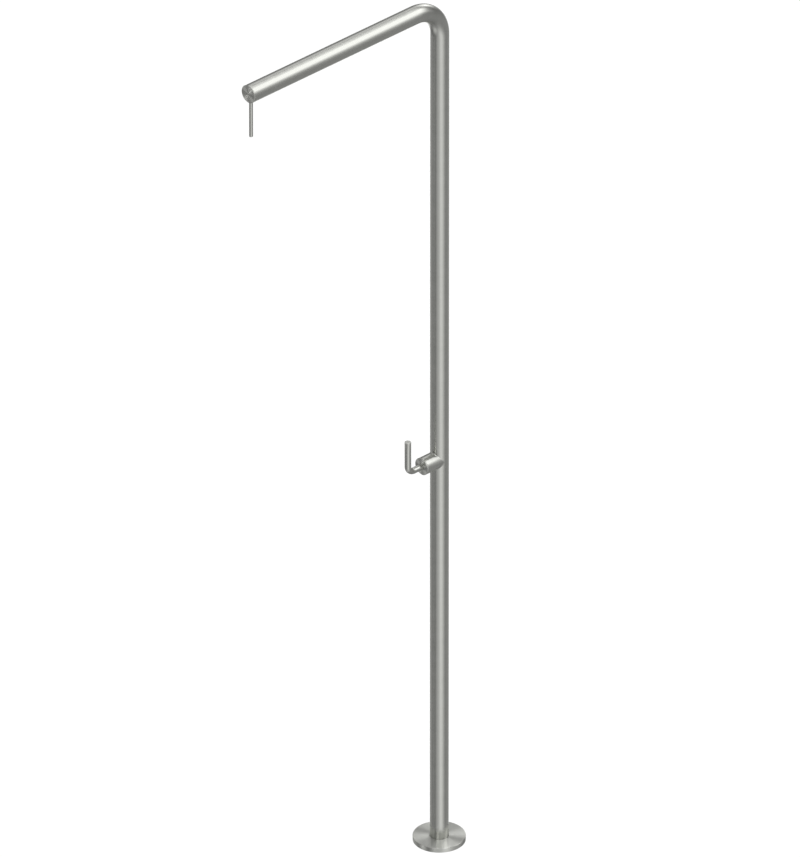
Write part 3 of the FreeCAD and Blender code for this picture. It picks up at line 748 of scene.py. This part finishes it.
# %% Extrude the sleeve onto the post and back
bpy.ops.object.select_all(action="DESELECT")
bpy.ops.mesh.primitive_circle_add(vertices=LATHE_SIDES, radius=SLEEVE_RADIUS, calc_uvs=False,
                                  location=sleeve_front, rotation=(math.pi / 2, 0, 0))
valve_sleeve = name_new_piece("valve_sleeve_welded")
front_ring = flat_ring(SLEEVE_RADIUS - SLEEVE_EDGE)
slide_ring(valve_sleeve, front_ring)
for rule in (
    flat_ring(SLEEVE_RADIUS, SLEEVE_EDGE),
    *(weld_ring(step / WELD_STEPS) for step in range(WELD_STEPS + 1)),
    inner_ring,
    flat_ring(SLEEVE_BORE),
    front_ring,
):
    extrude()
    slide_ring(valve_sleeve, rule)
close_mesh()
lay_brushing(valve_sleeve, round_axis(sleeve_front, Y))
hand_over(valve_sleeve, brushed_tube, "post", "valve_sleeve")

# %% [markdown]
# ## The lever
#
# The lever is a solid round rod, bent once into an L and sawn flat at the top, with its edge just
# broken. It is made as the tube is, from a circle, but its ends are closed: the first ring is
# filled, and the last one is shrunk in two steps and merged at the middle. Its back end is drilled
# for the spindle, and a small hole underneath holds the set screw.

# %% Extrude and bend the lever
LEVER_RADIUS = 7.5 * MM
LEVER_SIDES = 64
LEVER_REACH = 97 * MM
LEVER_BEND = 18 * MM
LEVER_BEND_STEPS = 16
LEVER_TOP_RING = 20 * MM  # from the top down to the last ring before it
LEVER_EDGE = 1 * MM
LEVER_EDGE_STEPS = 5
LEVER_TOP_SHARES = 0.6, 0.4  # the size of each ring on the sawn top, as a share of the last one
SET_SCREW_RADIUS = 2.5 * MM

lever_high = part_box("lever")[1]
lever_back = Vector((0, lever_high.y, VALVE_HEIGHT))
lever_top = Vector((0, -LEVER_REACH, lever_high.z))
screw_low, screw_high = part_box("lever_set_screw")
screw_middle = (screw_low + screw_high) / 2
bend_reach = LEVER_REACH - LEVER_BEND
bend_height = VALVE_HEIGHT + LEVER_BEND


def close_end(middle):
    """Closes the selected ring with smaller rings and a point."""
    for share in LEVER_TOP_SHARES:
        extrude()
        bpy.ops.transform.resize(value=(share,) * 3, center_override=middle)
    extrude()
    bpy.ops.mesh.merge(type="CENTER")


bpy.ops.object.select_all(action="DESELECT")
bpy.ops.mesh.primitive_circle_add(vertices=LEVER_SIDES, radius=LEVER_RADIUS, calc_uvs=False,
                                  location=lever_back, rotation=(math.pi / 2, 0, 0))
lever = name_new_piece("lever_brushed")
bpy.ops.mesh.edge_face_add()
bpy.ops.mesh.select_mode(type="EDGE")
extrude_through(-lever_back.y, [
    -screw_middle.y - SET_SCREW_RADIUS, -screw_middle.y + SET_SCREW_RADIUS, bend_reach,
], -Y)
bend(-math.pi / 2, (0, -bend_reach, bend_height), LEVER_BEND_STEPS)
extrude_through(bend_height, [lever_top.z - LEVER_TOP_RING, lever_top.z], Z)
close_end(lever_top)
round_rim(lever, lever_top, LEVER_RADIUS, LEVER_EDGE, LEVER_EDGE_STEPS)
close_mesh()

# %% Drill the lever for the spindle and the set screw
SPINDLE_BORE = 4.05 * MM
spindle_end = Vector((0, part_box("headwork_spindle")[0].y, VALVE_HEIGHT))
screw_top = Vector((0, screw_middle.y, VALVE_HEIGHT))

drill(lever, lever_back + Y * MM, spindle_end, SPINDLE_BORE)
drill(lever, screw_top, screw_top - Z * THROUGH, SET_SCREW_RADIUS)
lay_brushing(lever, round_bend(
    lever_back, -Y, Z, bend_reach + lever_back.y, LEVER_BEND, LEVER_RADIUS,
))
hand_over(lever, brushed_rod, "lever_and_spindle", "lever")

# %% [markdown]
# ## The pieces inside
#
# The valve, the hoses, the seals and the plate under the flange keep the solids that they have in
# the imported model, which are right as they are. They are hidden until the flange is lifted or the
# post is taken apart, but each still gets a real finish. One recipe serves them all: a base colour
# that drifts a little, a roughness that drifts with it, and a fine grain. The grain reads Object
# coordinates, because these solids have no UV map. Turned ones get their grain as rings.

# %% Finish the pieces inside
INNER_FINISHES = {  # colour, metallic, roughness, grain in mm, depth in mm
    "plain_steel": ((0.50, 0.50, 0.49), 1.0, 0.32, 0.8, 0.10),
    "spring_steel": ((0.32, 0.32, 0.33), 1.0, 0.38, 0.6, 0.04),
    "brass": ((0.72, 0.58, 0.33), 1.0, 0.28, 0.9, 0.05),
    "black_rubber": ((0.030, 0.030, 0.030), 0.0, 0.65, 0.5, 0.03),
    "hose_rubber": ((0.120, 0.120, 0.130), 0.0, 0.60, 1.5, 0.30),
    "black_polymer": ((0.060, 0.060, 0.060), 0.0, 0.45, 0.7, 0.03),
    "ceramic": ((0.920, 0.900, 0.860), 0.0, 0.18, 2.0, 0.01),
}
DARKER, LIGHTER = 0.82, 1.12
INNER_DRIFT = 0.4
INNER_PATCH = 9 * MM
GRAIN_LENGTH = 20 * MM
GRAIN_DETAIL = 2.0


def inner_finish(name, colour, metallic, roughness, grain, depth):
    finish, bench, shader = new_finish(name)
    x, y, z = bench.node("TexCoord", None, None, "Object").parts()
    rings = (x * x + y * y).maths("SQRT") / (grain * MM)
    fine = bench.noise(bench.point(rings, z / (grain * MM), x / GRAIN_LENGTH), GRAIN_DETAIL)
    patches = bench.noise(
        bench.point(x / INNER_PATCH, y / INNER_PATCH, z / INNER_PATCH), PATCH_DETAIL,
    )
    dark = [DARKER * part for part in colour] + [1]
    light = [min(1.0, LIGHTER * part) for part in colour] + [1]
    shader["Metallic"].default_value = metallic
    bench.feed(shader["Base Color"], bench.tint(patches, dark, light))
    bench.feed(shader["Roughness"], drifting(roughness, patches, INNER_DRIFT))
    bench.feed(shader["Normal"], bench.relief(fine, depth * MM))
    return finish


finishes = {slot: inner_finish(slot + "_finish", *recipe)
            for slot, recipe in INNER_FINISHES.items()}
dressed = 0
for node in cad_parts.values():
    for place in node.material_slots:
        if place.material.name in finishes:
            place.material = finishes[place.material.name]
            dressed += 1
print(f"{dressed} solids finished in {len(finishes)} ways")
